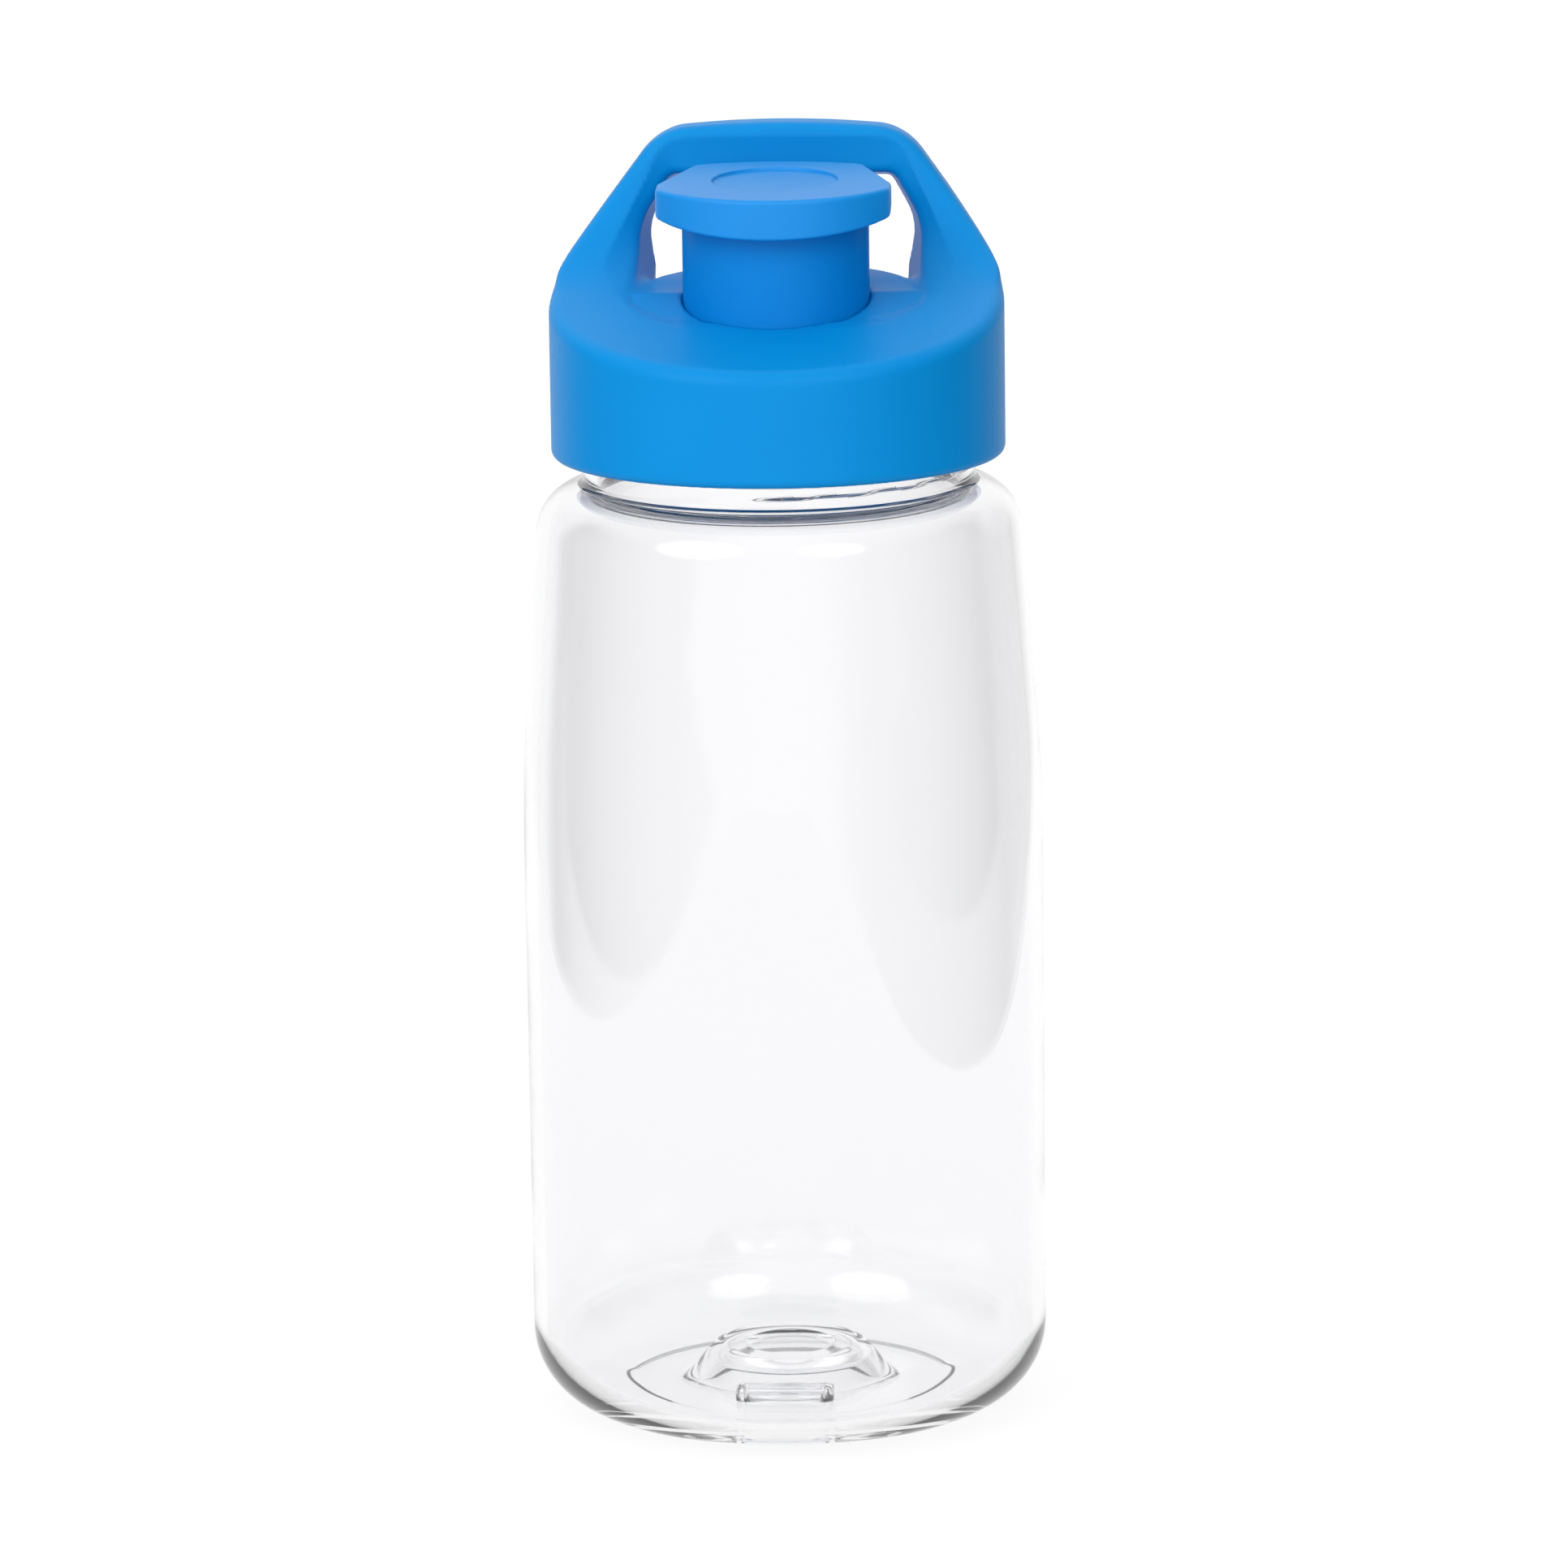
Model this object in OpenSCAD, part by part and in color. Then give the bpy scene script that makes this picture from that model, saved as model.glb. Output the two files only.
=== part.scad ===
// Clear drinking bottle with a screw lid, a carry arch and a flip-up cap.
// Millimetres, +Z up. The origin is the centre of the face that the bottle stands on.
// The front, where the drinking lip is, faces -Y.

/* [Bottle body] */
// Height of the body, up to the top of the shoulder
body_h = 136; // [115:1:180]
// Diameter at the widest ring
body_d = 75.2; // [70:0.2:92]
// How much the radius is smaller at the foot than at the widest ring
foot_in = 0.15; // [0:0.05:2]
// Height of the widest ring, where the taper begins
taper_z = 83; // [50:1:90]
// Lean of the upper side towards the neck, degrees
taper_angle = 4.1; // [2:0.1:6]
// Rounding between the foot and the side
foot_round = 11.6; // [6:0.1:14]
// Rounding of the shoulder
shoulder_round = 7.5; // [5:0.1:9]
// Thickness of the side wall
wall = 1.8; // [1.2:0.1:2.2]
// Thickness of the floor
floor_t = 2.4; // [2:0.1:4]
// Rise of the push-up in the middle of the floor
punt_h = 6; // [3:0.1:9]
// Diameter of the top of the push-up
punt_d = 23; // [16:0.5:28]

/* [Neck and thread] */
// Outside diameter of the neck between the threads
neck_d = 56; // [50:0.2:58]
// Thickness of the neck wall
neck_wall = 2.1; // [1.6:0.1:2.8]
// Rise of the thread for one turn
thread_lead = 4.5; // [4:0.1:5.2]
// Turns of thread on the neck
thread_turns = 1.5; // [1:0.25:1.75]
// Depth of the thread
thread_depth = 1.2; // [0.9:0.1:1.4]
// Gap between the thread crests and the wall opposite
thread_gap = 0.3; // [0.25:0.05:0.4]

/* [Lid] */
// Gap between the shoulder and the lid's lower edge
lid_gap = 3.8; // [3:0.1:5]
// Height of the lid's side wall at the front
lid_front_h = 16.4; // [15.8:0.1:21]
// Thickness of the lid's skirt
lid_wall = 1.5; // [1.2:0.1:2]
// Thickness of the insert's threaded skirt
insert_wall = 1.5; // [1.2:0.1:2]
// Thickness of the deck
deck_t = 1.8; // [1.4:0.1:2]
// Height of the deck beside the drinking tower, where the sweep starts
deck_mid_h = 23.3; // [22.5:0.1:24]
// Height of the deck behind the drinking tower
deck_h = 24.5; // [24:0.1:26]
// Width of the deck left behind the hinge column
deck_rim = 2.2; // [1.5:0.1:3]
// How much higher the lid's rim is at the back than at the front
lid_back_rise = 0.6; // [0:0.1:3]

/* [Carry arch] */
// Height of the arch's top above the lid's lower edge
arch_h = 45; // [43:0.5:60]
// Lean of the arch's outer sides from upright, degrees
arch_side_angle = 37.5; // [35:0.5:42]
// Height at which the sides start to lean in
arch_side_h = 24.9; // [24:0.1:28]
// Radius of the sweep from the deck up the front of the arch
sweep_r = 27.5; // [25:0.5:29]
// Distance of the top bar's front face behind the hinge's axis
bar_gap = 3.8; // [3.6:0.1:5]
// Depth of the top bar, front to back
bar_depth = 8; // [6:0.1:9]
// Height of the top bar, from the window to the arch's top
bar_h = 6.8; // [5:0.1:9]
// Width of each leg, from the lid's side to the window at its widest
leg_w = 11.65; // [10:0.05:13]
// Depth of the soft recess around the window
scoop_depth = 1.2; // [1:0.1:1.5]

/* [Drinking tower] */
// Outside diameter of the tower
tower_d = 27.4; // [24:0.2:28]
// Height of the tower's rim above the lid's lower edge
tower_h = 36.2; // [34:0.1:36.6]
// Thickness of the tower's wall
tower_wall = 2.2; // [1.6:0.1:3]
// Diameter of the drinking mouth
mouth_d = 15; // [12:0.2:17]
// Thickness of the insert's plates
plate_t = 1.8; // [1.5:0.1:2]

/* [Flip cap] */
// How far the cap stands out over the tower, at the front and the sides
cap_over = 3; // [2.4:0.1:3.4]
// Thickness of the cap over the front of the tower
cap_t = 2; // [1.6:0.1:2.4]
// Slope of the cap's top, degrees
cap_slope = 3.4; // [0:0.1:3.6]
// Depth of the cap's front lip
lip_h = 5.8; // [4:0.1:7]
// Slope of the lip's lower edge, degrees
lip_slope = 12.4; // [8:0.2:16]
// Diameter of the finger recess
recess_d = 17.8; // [12:0.2:20]
// Depth of the finger recess
recess_depth = 0.5; // [0.3:0.1:0.8]
// Diameter of the stub that carries the seal
stub_d = 9; // [6:0.2:10]
// Depth of the seal below the tower's rim
plug_depth = 2.6; // [1.5:0.1:3]

/* [Hinge] */
// Diameter of the hinge pin
pin_d = 2; // [1.5:0.1:2.2]
// Outside diameter of the knuckle and the ears
knuckle_d = 4; // [3.8:0.1:4.2]
// Width of the cap's knuckle
knuckle_w = 9.2; // [6:0.2:10]
// Thickness of each ear
ear_t = 3.2; // [2.5:0.1:4]
// Gap between the ears and the knuckle
ear_gap = 0.3; // [0.2:0.05:0.4]
// Radial play of the pin in the knuckle
pin_play = 0.05; // [0.02:0.01:0.1]

/* [Seals] */
// Thickness of the neck gasket
gasket_t = 1.4; // [1:0.1:2]
// Gap left where two surfaces meet across a joint
rest_gap = 0.3; // [0.2:0.05:0.4]
// Gap between a seal and what it presses on
seal_gap = 0.1; // [0.05:0.05:0.2]

/* [Hidden] */
$fn = 96;
fit = 0.05;      // play between the shell and the insert
sink = 0.4;      // how far a ridge runs into the wall that carries it
steps = 24;      // points on a rounded stretch
big = 200;       // longer than anything it cuts

// Bottle
side_r = body_d / 2;
foot_r = side_r - foot_in;
neck_r = neck_d / 2;
taper_r = 290;   // radius that turns the upright side into the leaning one
foot_flat = 1.5; // width of the ring that the bottle stands on
recess_z = 0.8;  // how far the middle of the base is lifted off the table
lug_w = 14;      // width of the locating notch at the front of the base
lug_in = 13.5;   // nearest and farthest edge of the notch, from the centre
lug_out = 18.5;
lug_h = 3.2;

// Lid
lid_z = body_h + lid_gap;
thread_r = neck_r + thread_depth;
insert_bore = thread_r + thread_gap;
insert_r = insert_bore + insert_wall;
shell_bore = insert_r + fit;
lid_r = shell_bore + lid_wall;
edge_round = 1.2; // rounding of the lid's lower edge
skirt_in = 0.8;   // how far the insert's skirt stops above the lid's edge
plate_top = lid_z + lid_front_h - deck_t - 0.2;
plate_z = plate_top - plate_t;
rim_z = plate_z - gasket_t - 2 * seal_gap;
lid_back_h = lid_front_h + lid_back_rise;
tower_r = tower_d / 2;
tower_gap = 0.4;  // seam between the tower and the deck
rim_top = lid_z + tower_h;
column_w = knuckle_w + 2 * ear_gap + 2 * ear_t;

// Hinge
knuckle_r = knuckle_d / 2;
cap_under = rim_top + rest_gap;
cap_front = tower_r + cap_over;
cap_back = tower_r + 0.2;
cap_top = cap_under + cap_t; // height of the cap's top at its front edge
pin_y = tower_r + knuckle_r + 0.5;
pin_z = cap_under + 1.1;
pocket_depth = 0.8; // how far the seal's flange is let into the cap
flange_r = mouth_d / 2 + 1.5;
deck_r = pin_y + knuckle_r + tower_gap + deck_rim;

// Arch and the sweep that carries the deck up into it
bar_front = pin_y + bar_gap;
bar_lean = 0.8;   // how far the bar's front leans back above the sweep
window_half = lid_r - leg_w;
sweep_angle = 15; // slope of the deck at the foot of the sweep, degrees
sweep_z = lid_z + deck_mid_h;
sweep_c = sweep_z + sweep_r * cos(sweep_angle);
sweep_end = acos((sweep_c - lid_z - arch_h + 3.1) / sweep_r); // slope where it meets the bar
sweep_y = bar_front - bar_lean - sweep_r * sin(sweep_end);
sweep_foot = sweep_y + sweep_r * sin(sweep_angle);
slope_run = 19.5; // from the lid's front edge to where the front slope turns a little flatter
slope_y = slope_run - lid_r;
slope_z = lid_z + lid_front_h + 0.54 * (deck_mid_h - lid_front_h);

function arc(cx, cy, r, a0, a1, n = steps) =
    [for (i = [0:n]) let (a = a0 + (a1 - a0) * i / n) [cx + r * cos(a), cy + r * sin(a)]];

// ---------- bottle ----------

// Outline of the body, moved inwards by t: foot rounding, side, taper and shoulder.
function body_outline(t) =
    let (
        nr = side_r - taper_r + taper_r * cos(taper_angle),
        nz = taper_z + taper_r * sin(taper_angle),
        reach = nr * cos(taper_angle) + nz * sin(taper_angle) - shoulder_round,
        sz = body_h - shoulder_round,
        sr = (reach - sz * sin(taper_angle)) / cos(taper_angle)
    )
    concat(
        arc(foot_r - foot_round, foot_round, foot_round - t, -90, 0),
        arc(side_r - taper_r, taper_z, taper_r - t, 0, taper_angle, 8),
        arc(sr, sz, shoulder_round - t, taper_angle, 90)
    );

module body_solid(t) {
    rotate_extrude() polygon(concat([[0, t]], body_outline(t), [[0, body_h - t]]));
}

module punt(r_foot, r_top, z_foot, z_top) {
    translate([0, 0, z_foot]) cylinder(h = z_top - z_foot, r1 = r_foot, r2 = r_top);
}

thread_n = 48; // straight pieces in one turn of a thread

// A helical ridge of four-sided section, tapered to nothing at both ends.
// It runs from radius r0, where it is w0 wide, to radius r1, where it is w1 wide.
module thread_ridge(r0, r1, w0, w1, z, turns, start) {
    n = thread_n;
    count = round(turns * n);
    fade = 5;
    function depth(i) = min(1, 0.1 + min(i, count - i) / fade);
    function section(i) =
        let (a = start + 360 * i / n, h = z + thread_lead * i / n, r = r0 + (r1 - r0) * depth(i),
             w = w0 + (w1 - w0) * depth(i))
        [for (p = [[r0, -w0 / 2], [r, -w / 2], [r, w / 2], [r0, w0 / 2]])
            [p[0] * cos(a), p[0] * sin(a), h + p[1]]];
    rings = [for (i = [0:count]) each section(i)];
    sides = [for (i = [0:count - 1]) for (k = [0:3]) let (a = 4 * i + k, b = 4 * i + (k + 1) % 4)
        each [[a, b, b + 4], [a, b + 4, a + 4]]];
    ends = [[0, 2, 1], [0, 3, 2], [4 * count, 4 * count + 1, 4 * count + 2],
        [4 * count, 4 * count + 2, 4 * count + 3]];
    faces = concat(sides, ends);
    polyhedron(rings, r1 > r0 ? faces : [for (f = faces) [f[2], f[1], f[0]]]);
}

thread_foot = 2.2;      // width of a thread ridge at its wall
thread_tip = 1;         // width of a thread ridge at its crest
thread_z = lid_z - 1.4; // height of the ridge's middle where the thread starts
thread_start = -100;    // where the thread starts, degrees from +X
inner_turns = 1.25;     // turns of thread in the lid

module bottle_body() color([0.9, 0.94, 0.97, 0.35]) {
    difference() {
        union() {
            difference() {
                union() {
                    body_solid(0);
                    translate([0, 0, body_h - shoulder_round])
                        cylinder(h = rim_z - body_h + shoulder_round, r = neck_r);
                }
                intersection() {
                    body_solid(wall);
                    translate([0, 0, recess_z + floor_t]) cylinder(h = big, r = big);
                }
                translate([0, 0, body_h - shoulder_round]) cylinder(h = big, r = neck_r - neck_wall);
            }
            punt(punt_d / 2 + 7, punt_d / 2 + 1.5, recess_z + 1, punt_h + floor_t - 0.4);
            translate([-lug_w / 2 - wall, -lug_out - wall, recess_z + 1])
                cube([lug_w + 2 * wall, lug_out - lug_in + 2 * wall, lug_h + wall - 1]);
        }
        translate([0, 0, -1]) cylinder(h = 1 + recess_z, r = foot_r - foot_round - foot_flat);
        punt(punt_d / 2 + 4.5, punt_d / 2, recess_z, punt_h);
        translate([-lug_w / 2, -lug_out, 0]) cube([lug_w, lug_out - lug_in, recess_z + lug_h]);
    }
    thread_ridge(neck_r - sink, thread_r, thread_foot, thread_tip, thread_z, thread_turns, thread_start);
}

// ---------- lid ----------

// Extrudes a side view, drawn as [y, z], across the whole width.
module across(width = big) {
    rotate([90, 0, 90]) translate([0, 0, -width / 2]) linear_extrude(height = width) children();
}

// Extrudes a front view, drawn as [x, z], from front to back.
module through(depth = big) {
    rotate([90, 0, 0]) translate([0, 0, -depth / 2]) linear_extrude(height = depth) children();
}

// Side view of the deck: front slope, foot of the sweep, level round and back slope.
module deck_view(drop) {
    translate([0, -drop]) polygon([
        [-lid_r - 1, lid_z - 1], [-lid_r - 1, lid_z + lid_front_h - 0.2], [slope_y, slope_z],
        [sweep_foot, sweep_z], [sweep_foot + 2, sweep_z + 0.1], [lid_r + 1, lid_z + lid_back_h],
        [lid_r + 1, lid_z - 1]
    ]);
}

// Side view of the raised round of the deck.
module round_view(drop) {
    translate([0, -drop]) polygon([
        [slope_y, lid_z], [slope_y, slope_z], [sweep_foot, sweep_z], [sweep_foot + 3, sweep_z + 0.6],
        [deck_r, lid_z + deck_h], [deck_r, lid_z]
    ]);
}

// Side view of the arch: the sweep, the bar's front, its top and its back.
module arch_view(deeper = 0) {
    top = lid_z + arch_h;
    back = bar_front + bar_depth;
    polygon(concat(
        [[sweep_foot, lid_z + lid_back_h]],
        arc(sweep_y, sweep_c, sweep_r + deeper, sweep_angle - 90, sweep_end - 90),
        [[bar_front + deeper, top - 1.6]],
        arc(bar_front + 2 + deeper, top - 2, 2, 180, 90, 8),
        arc(back - 2.5, top - 2.5, 2.5, 90, 0, 8),
        [[back - 9, lid_z + 24], [back - 9, lid_z + lid_back_h]]
    ));
}

// Front view of the arch's outer outline.
module arch_outline() {
    top = lid_z + arch_h;
    foot = lid_z + arch_side_h;
    round_r = 7;
    run = tan(arch_side_angle);
    corner = lid_r - (arch_h - arch_side_h) * run;
    inset = round_r * (1 / cos(arch_side_angle) - run);
    hull() {
        translate([-lid_r, lid_z]) square([2 * lid_r, arch_side_h]);
        for (side = [-1, 1]) translate([side * (corner - inset), top - round_r]) circle(r = round_r);
        translate([-corner / 2, top - round_r]) square([corner, round_r]);
    }
}

window_low = lid_z + 28; // height of the centre of the window's lower corners

// Front view of the window.
module window_outline() {
    corner = 6;
    top_corner = 2.6;
    hull() for (side = [-1, 1]) {
        translate([side * (window_half - corner), window_low]) circle(r = corner);
        translate([side * (window_half - corner - 0.4), window_low + 2.6]) circle(r = corner);
        translate([side * (window_half - 5.8), lid_z + arch_h - bar_h - top_corner]) circle(r = top_corner);
    }
}

// Front view of the soft recess around the window.
module scoop_outline() {
    corner = 6.5;
    top_corner = 3;
    hull() for (side = [-1, 1]) {
        translate([side * (window_half + 4.4 - corner), window_low - 0.6]) circle(r = corner);
        translate([side * (window_half - 3.9 - top_corner), lid_z + arch_h - 1.8 - top_corner])
            circle(r = top_corner);
    }
}

module arch() {
    difference() {
        intersection() {
            across() arch_view();
            through() arch_outline();
            cylinder(h = big * 2, r = lid_r);
        }
        through() window_outline();
        difference() {
            through() scoop_outline();
            across() arch_view(scoop_depth);
            translate([-big / 2, bar_front + bar_depth / 2, 0]) cube([big, big, big * 2]);
        }
    }
}

module lid_shell() color([0.0, 0.5, 0.85]) {
    difference() {
        union() {
            intersection() {
                across() deck_view(0);
                rotate_extrude() polygon(concat(
                    [[0, lid_z]], arc(lid_r - edge_round, lid_z + edge_round, edge_round, -90, 0, 8),
                    [[lid_r, big], [0, big]]));
            }
            intersection() {
                across() round_view(0);
                translate([0, 0, lid_z]) cylinder(h = big, r = deck_r);
            }
            arch();
        }
        intersection() {
            across() deck_view(deck_t);
            translate([0, 0, lid_z - 2]) cylinder(h = big, r = shell_bore);
        }
        intersection() {
            across() round_view(deck_t);
            translate([0, 0, lid_z]) cylinder(h = big, r = deck_r - deck_t);
        }
        translate([0, 0, lid_z]) cylinder(h = arch_h - 20, r = tower_r + tower_gap);
        translate([-column_w / 2 - tower_gap, 0, lid_z])
            cube([column_w + 2 * tower_gap, pin_y + knuckle_r + tower_gap, arch_h - 12]);
    }
}

module lid_insert() color([0.0, 0.47, 0.82]) {
    difference() {
        union() {
            rotate_extrude() polygon(concat(
                [[insert_bore, lid_z + skirt_in], [insert_r, lid_z + skirt_in], [insert_r, plate_top],
                 [tower_r, plate_top]],
                arc(tower_r - 1, rim_top - 1, 1, 0, 90, 8),
                arc(mouth_d / 2 + 0.5, rim_top - 0.5, 0.5, 90, 180, 6),
                [[mouth_d / 2, rim_top - plate_t], [tower_r - tower_wall, rim_top - plate_t],
                 [tower_r - tower_wall, plate_z], [insert_bore, plate_z]]));
            hinge_column();
        }
        translate([0, pin_y, pin_z]) rotate([0, 90, 0]) cylinder(h = big, d = pin_d, center = true);
    }
    inner_crest = (neck_r + thread_gap) / cos(180 / thread_n);
    thread_ridge(insert_bore + sink, inner_crest, thread_foot, thread_tip,
        thread_z + thread_lead / 2, inner_turns, thread_start + 25);
}

// Column behind the tower, with the two ears that hold the pin.
module hinge_column() {
    ear_foot = pin_z - knuckle_r - 0.6;
    difference() {
        union() {
            translate([-column_w / 2, 0, plate_top - 0.5])
                cube([column_w, pin_y + knuckle_r, ear_foot - plate_top + 0.5]);
            for (side = [-1, 1])
                translate([side * (column_w - ear_t) / 2, 0, 0]) across(ear_t) {
                    translate([pin_y, pin_z]) circle(r = knuckle_r);
                    translate([pin_y - knuckle_r, ear_foot - 0.5])
                        square([2 * knuckle_r, pin_z - ear_foot + 0.5]);
                }
        }
        cylinder(h = big * 2, r = tower_r - tower_wall / 2);
    }
}

module neck_gasket() color([0.85, 0.88, 0.9]) {
    translate([0, 0, rim_z + seal_gap]) difference() {
        cylinder(h = gasket_t, r = thread_r - 0.3);
        translate([0, 0, -1]) cylinder(h = gasket_t + 2, r = neck_r - neck_wall - 0.4);
    }
}

// ---------- flip cap ----------

// Plan of the cap: round front, short straight sides, slanted flanks and a bowed back.
module cap_plan() {
    half = cap_front;
    front_r = half * 1.17;
    front_c = front_r - cap_front;
    side_y = front_c - sqrt(front_r * front_r - half * half);
    side_a = asin(half / front_r);
    back_half = half - 4.5;
    back_bow = 2.4;
    back_r = (back_half * back_half + back_bow * back_bow) / (2 * back_bow);
    back_a = asin(back_half / back_r);
    polygon(concat(
        arc(0, front_c, front_r, -90 - side_a, -90 + side_a),
        [[half, side_y + 4.4]],
        arc(0, cap_back - back_r, back_r, 90 - back_a, 90 + back_a),
        [[-half, side_y + 4.4]]
    ));
}

// Side view of the cap: the sloping top and the lip that hangs down at the front.
module cap_view() {
    lip_low = cap_top - lip_h;
    depth = cap_front + cap_back + 1;
    polygon([
        [-cap_front - 1, lip_low], [-cap_front - 1, cap_top - tan(cap_slope)],
        [cap_back + 1, cap_top + depth * tan(cap_slope)], [cap_back + 1, cap_under],
        [-cap_front + (cap_under - lip_low) / tan(lip_slope), cap_under], [-cap_front, lip_low]
    ]);
}

// Side view of the knuckle and the web that joins it to the back of the cap.
module knuckle_view() {
    web_y = cap_back - 2;
    translate([pin_y, pin_z]) circle(r = knuckle_r);
    polygon([
        [web_y, cap_under], [web_y, pin_z + knuckle_r], [pin_y, pin_z + knuckle_r],
        [pin_y, pin_z], [pin_y - 1, cap_under]
    ]);
}

module flip_cap() color([0.05, 0.53, 0.88]) {
    difference() {
        union() {
            difference() {
                intersection() {
                    translate([0, 0, lid_z]) linear_extrude(height = arch_h) cap_plan();
                    across() cap_view();
                }
                translate([0, 0, lid_z]) cylinder(h = cap_under - lid_z, r = tower_r + 0.6);
                translate([0, 0, cap_under]) cylinder(h = pocket_depth, r = flange_r + fit);
                translate([0, 0, cap_top + cap_front * tan(cap_slope)]) rotate([cap_slope, 0, 0])
                    translate([0, 0, -recess_depth]) cylinder(h = 5, d = recess_d);
            }
            across(knuckle_w) knuckle_view();
            translate([0, 0, rim_top - plug_depth])
                cylinder(h = plug_depth + rest_gap + pocket_depth + 0.2, d = stub_d);
        }
        translate([0, pin_y, pin_z]) rotate([0, 90, 0])
            cylinder(h = big, r = pin_d / 2 + pin_play, center = true);
    }
}

module cap_seal() color([0.9, 0.92, 0.94]) {
    bore = stub_d / 2 + fit;
    plug_r = mouth_d / 2 - rest_gap;
    rotate_extrude() polygon([
        [bore, rim_top - plug_depth], [plug_r - 0.6, rim_top - plug_depth], [plug_r, rim_top + seal_gap],
        [flange_r, rim_top + seal_gap], [flange_r, cap_under + pocket_depth], [bore, cap_under + pocket_depth]
    ]);
}

module hinge_pin() color("silver") {
    chamfer = 0.25;
    for (side = [0, 1]) mirror([side, 0, 0]) translate([0, pin_y, pin_z]) rotate([0, 90, 0]) {
        cylinder(h = column_w / 2 - chamfer, d = pin_d);
        translate([0, 0, column_w / 2 - chamfer]) cylinder(h = chamfer, d1 = pin_d, d2 = pin_d - 2 * chamfer);
    }
}

bottle_body();
lid_shell();
lid_insert();
neck_gasket();
flip_cap();
cap_seal();
hinge_pin();
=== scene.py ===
"""Clear sports bottle with a blue screw lid, a carry arch and a flip-up cap."""
import math

import bmesh
import bpy
import numpy as np
from mathutils import Matrix, Vector


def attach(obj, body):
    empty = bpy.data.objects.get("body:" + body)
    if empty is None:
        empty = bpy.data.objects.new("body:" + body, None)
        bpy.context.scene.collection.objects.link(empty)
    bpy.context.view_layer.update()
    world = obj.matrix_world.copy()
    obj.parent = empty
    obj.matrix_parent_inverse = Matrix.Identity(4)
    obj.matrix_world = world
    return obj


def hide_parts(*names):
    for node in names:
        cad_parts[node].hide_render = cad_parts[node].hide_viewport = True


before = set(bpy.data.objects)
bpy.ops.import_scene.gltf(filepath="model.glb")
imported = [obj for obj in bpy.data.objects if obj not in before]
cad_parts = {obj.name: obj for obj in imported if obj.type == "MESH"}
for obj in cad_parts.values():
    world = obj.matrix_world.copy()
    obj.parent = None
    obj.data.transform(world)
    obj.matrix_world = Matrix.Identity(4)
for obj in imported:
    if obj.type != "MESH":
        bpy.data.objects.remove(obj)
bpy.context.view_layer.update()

# Sizes are in millimetres. Heights named _H are counted from the lid's lower edge, _Z from the table.
# A slope is a rise for each millimetre across, and its _COS turns a height above it into a distance.
MM = 0.001
LID_Z = 139.8
LID_R = 32.55            # outside of the lid
LID_BORE = 31.05         # inside of its skirt
DECK_T = 1.8
FRONT_H = 16.4           # height of the lid's wall at the front
FRONT_SLOPE = 0.165      # slope of the deck at the front rim
BACK_H, BACK_FALL, BACK_COS = 23.8, 0.203, 0.98    # deck behind the tower: its height at the axis
DECK_COS = 0.966
MID_H = 23.3             # height of the deck beside the tower, where the sweep starts
ROUND_R, ROUND_H = 20.8, 24.5    # raised round of the deck behind the tower
SWEEP_R = 27.5           # sweep from the deck up the front of the arch
SWEEP_LEAN = math.radians(15)
SWEEP_Y = -SWEEP_R * math.sin(SWEEP_LEAN)
SWEEP_H = MID_H + SWEEP_R * math.cos(SWEEP_LEAN)
ARCH_H, ARCH_CROWN = 45.0, 0.003
ARCH_SIDE_H = 24.9       # height at which the arch's sides start to lean in
ARCH_LEAN = math.radians(37.5)
ARCH_BACK_Y, ARCH_BACK_H = 28, 42.5      # a point on the arch's leaning back
WINDOW_HALF, WINDOW_LOW, WINDOW_TOP = 20.9, 17.0, 38.2
WINDOW_EDGE, WINDOW_EDGE_H = 17.4, 36.7  # a point on the window's leaning side
WINDOW_SLOPE, WINDOW_COS = 0.64, 0.842
CREASE_EDGE, CREASE_EDGE_H = 17, 42.95   # a point on the side of the recess round the window
CREASE_SLOPE, CREASE_COS = 0.5, 0.894
CREASE_FOOT, CREASE_TOP = 20.5, 43.2
BURIED_H = 10            # nothing of the arch, nor of the round, goes lower than this

TOWER_R, TOWER_BORE, TOWER_H = 13.35, 11.5, 36.2
MOUTH_R = 7.5
PLATE_H, PLATE_T = 14.4, 1.8
SKIRT_R, SKIRT_BORE, SKIRT_H = 31.0, 29.5, 0.8

CAP_FRONT, CAP_BACK = 16.7, 13.9
CAP_UNDER, CAP_TOP = 36.5, 38.5  # underside, and top at the front edge
CAP_SLOPE = math.radians(3.4)
LIP_H = 5.8
LIP_SLOPE = math.radians(12.4)
RECESS_R, RECESS_DEPTH = 8.9, 0.5
STUB_R = 4.5
FLANGE_R, FLANGE_TOP = 9.0, 37.3
PIN_Y, PIN_H, PIN_R = 16.2, 37.6, 1.0
KNUCKLE_R, KNUCKLE_HALF = 2.0, 4.6
EAR_IN, EAR_OUT = 4.9, 8.1

NECK_R, NECK_BORE, RIM_Z = 28.0, 25.9, 150.8
SHOULDER_Z = 136.0
NOTCH_HALF, NOTCH_IN, NOTCH_OUT, NOTCH_TOP = 5.9, 14.0, 18.5, 4.4    # locating notch in the base
BODY_R, WIDEST_Z, BODY_WALL = 37.6, 93.38, 1.8
BODY_LEAN = math.tan(math.radians(4.1))
FOOT_R = 37.45
THREAD_LEAD, THREAD_DEPTH = 4.5, 1.2
THREAD_FOOT, THREAD_TIP = 2.2, 1.0
THREAD_H = -1.4          # middle of the ridge where the neck's thread starts
THREAD_START = math.radians(-100)
NECK_TURNS, LID_TURNS = 1.5, 1.25
THREAD_FADE = 0.09       # part of a turn over which a ridge sinks away
LID_CREST = NECK_R + 0.32


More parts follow.
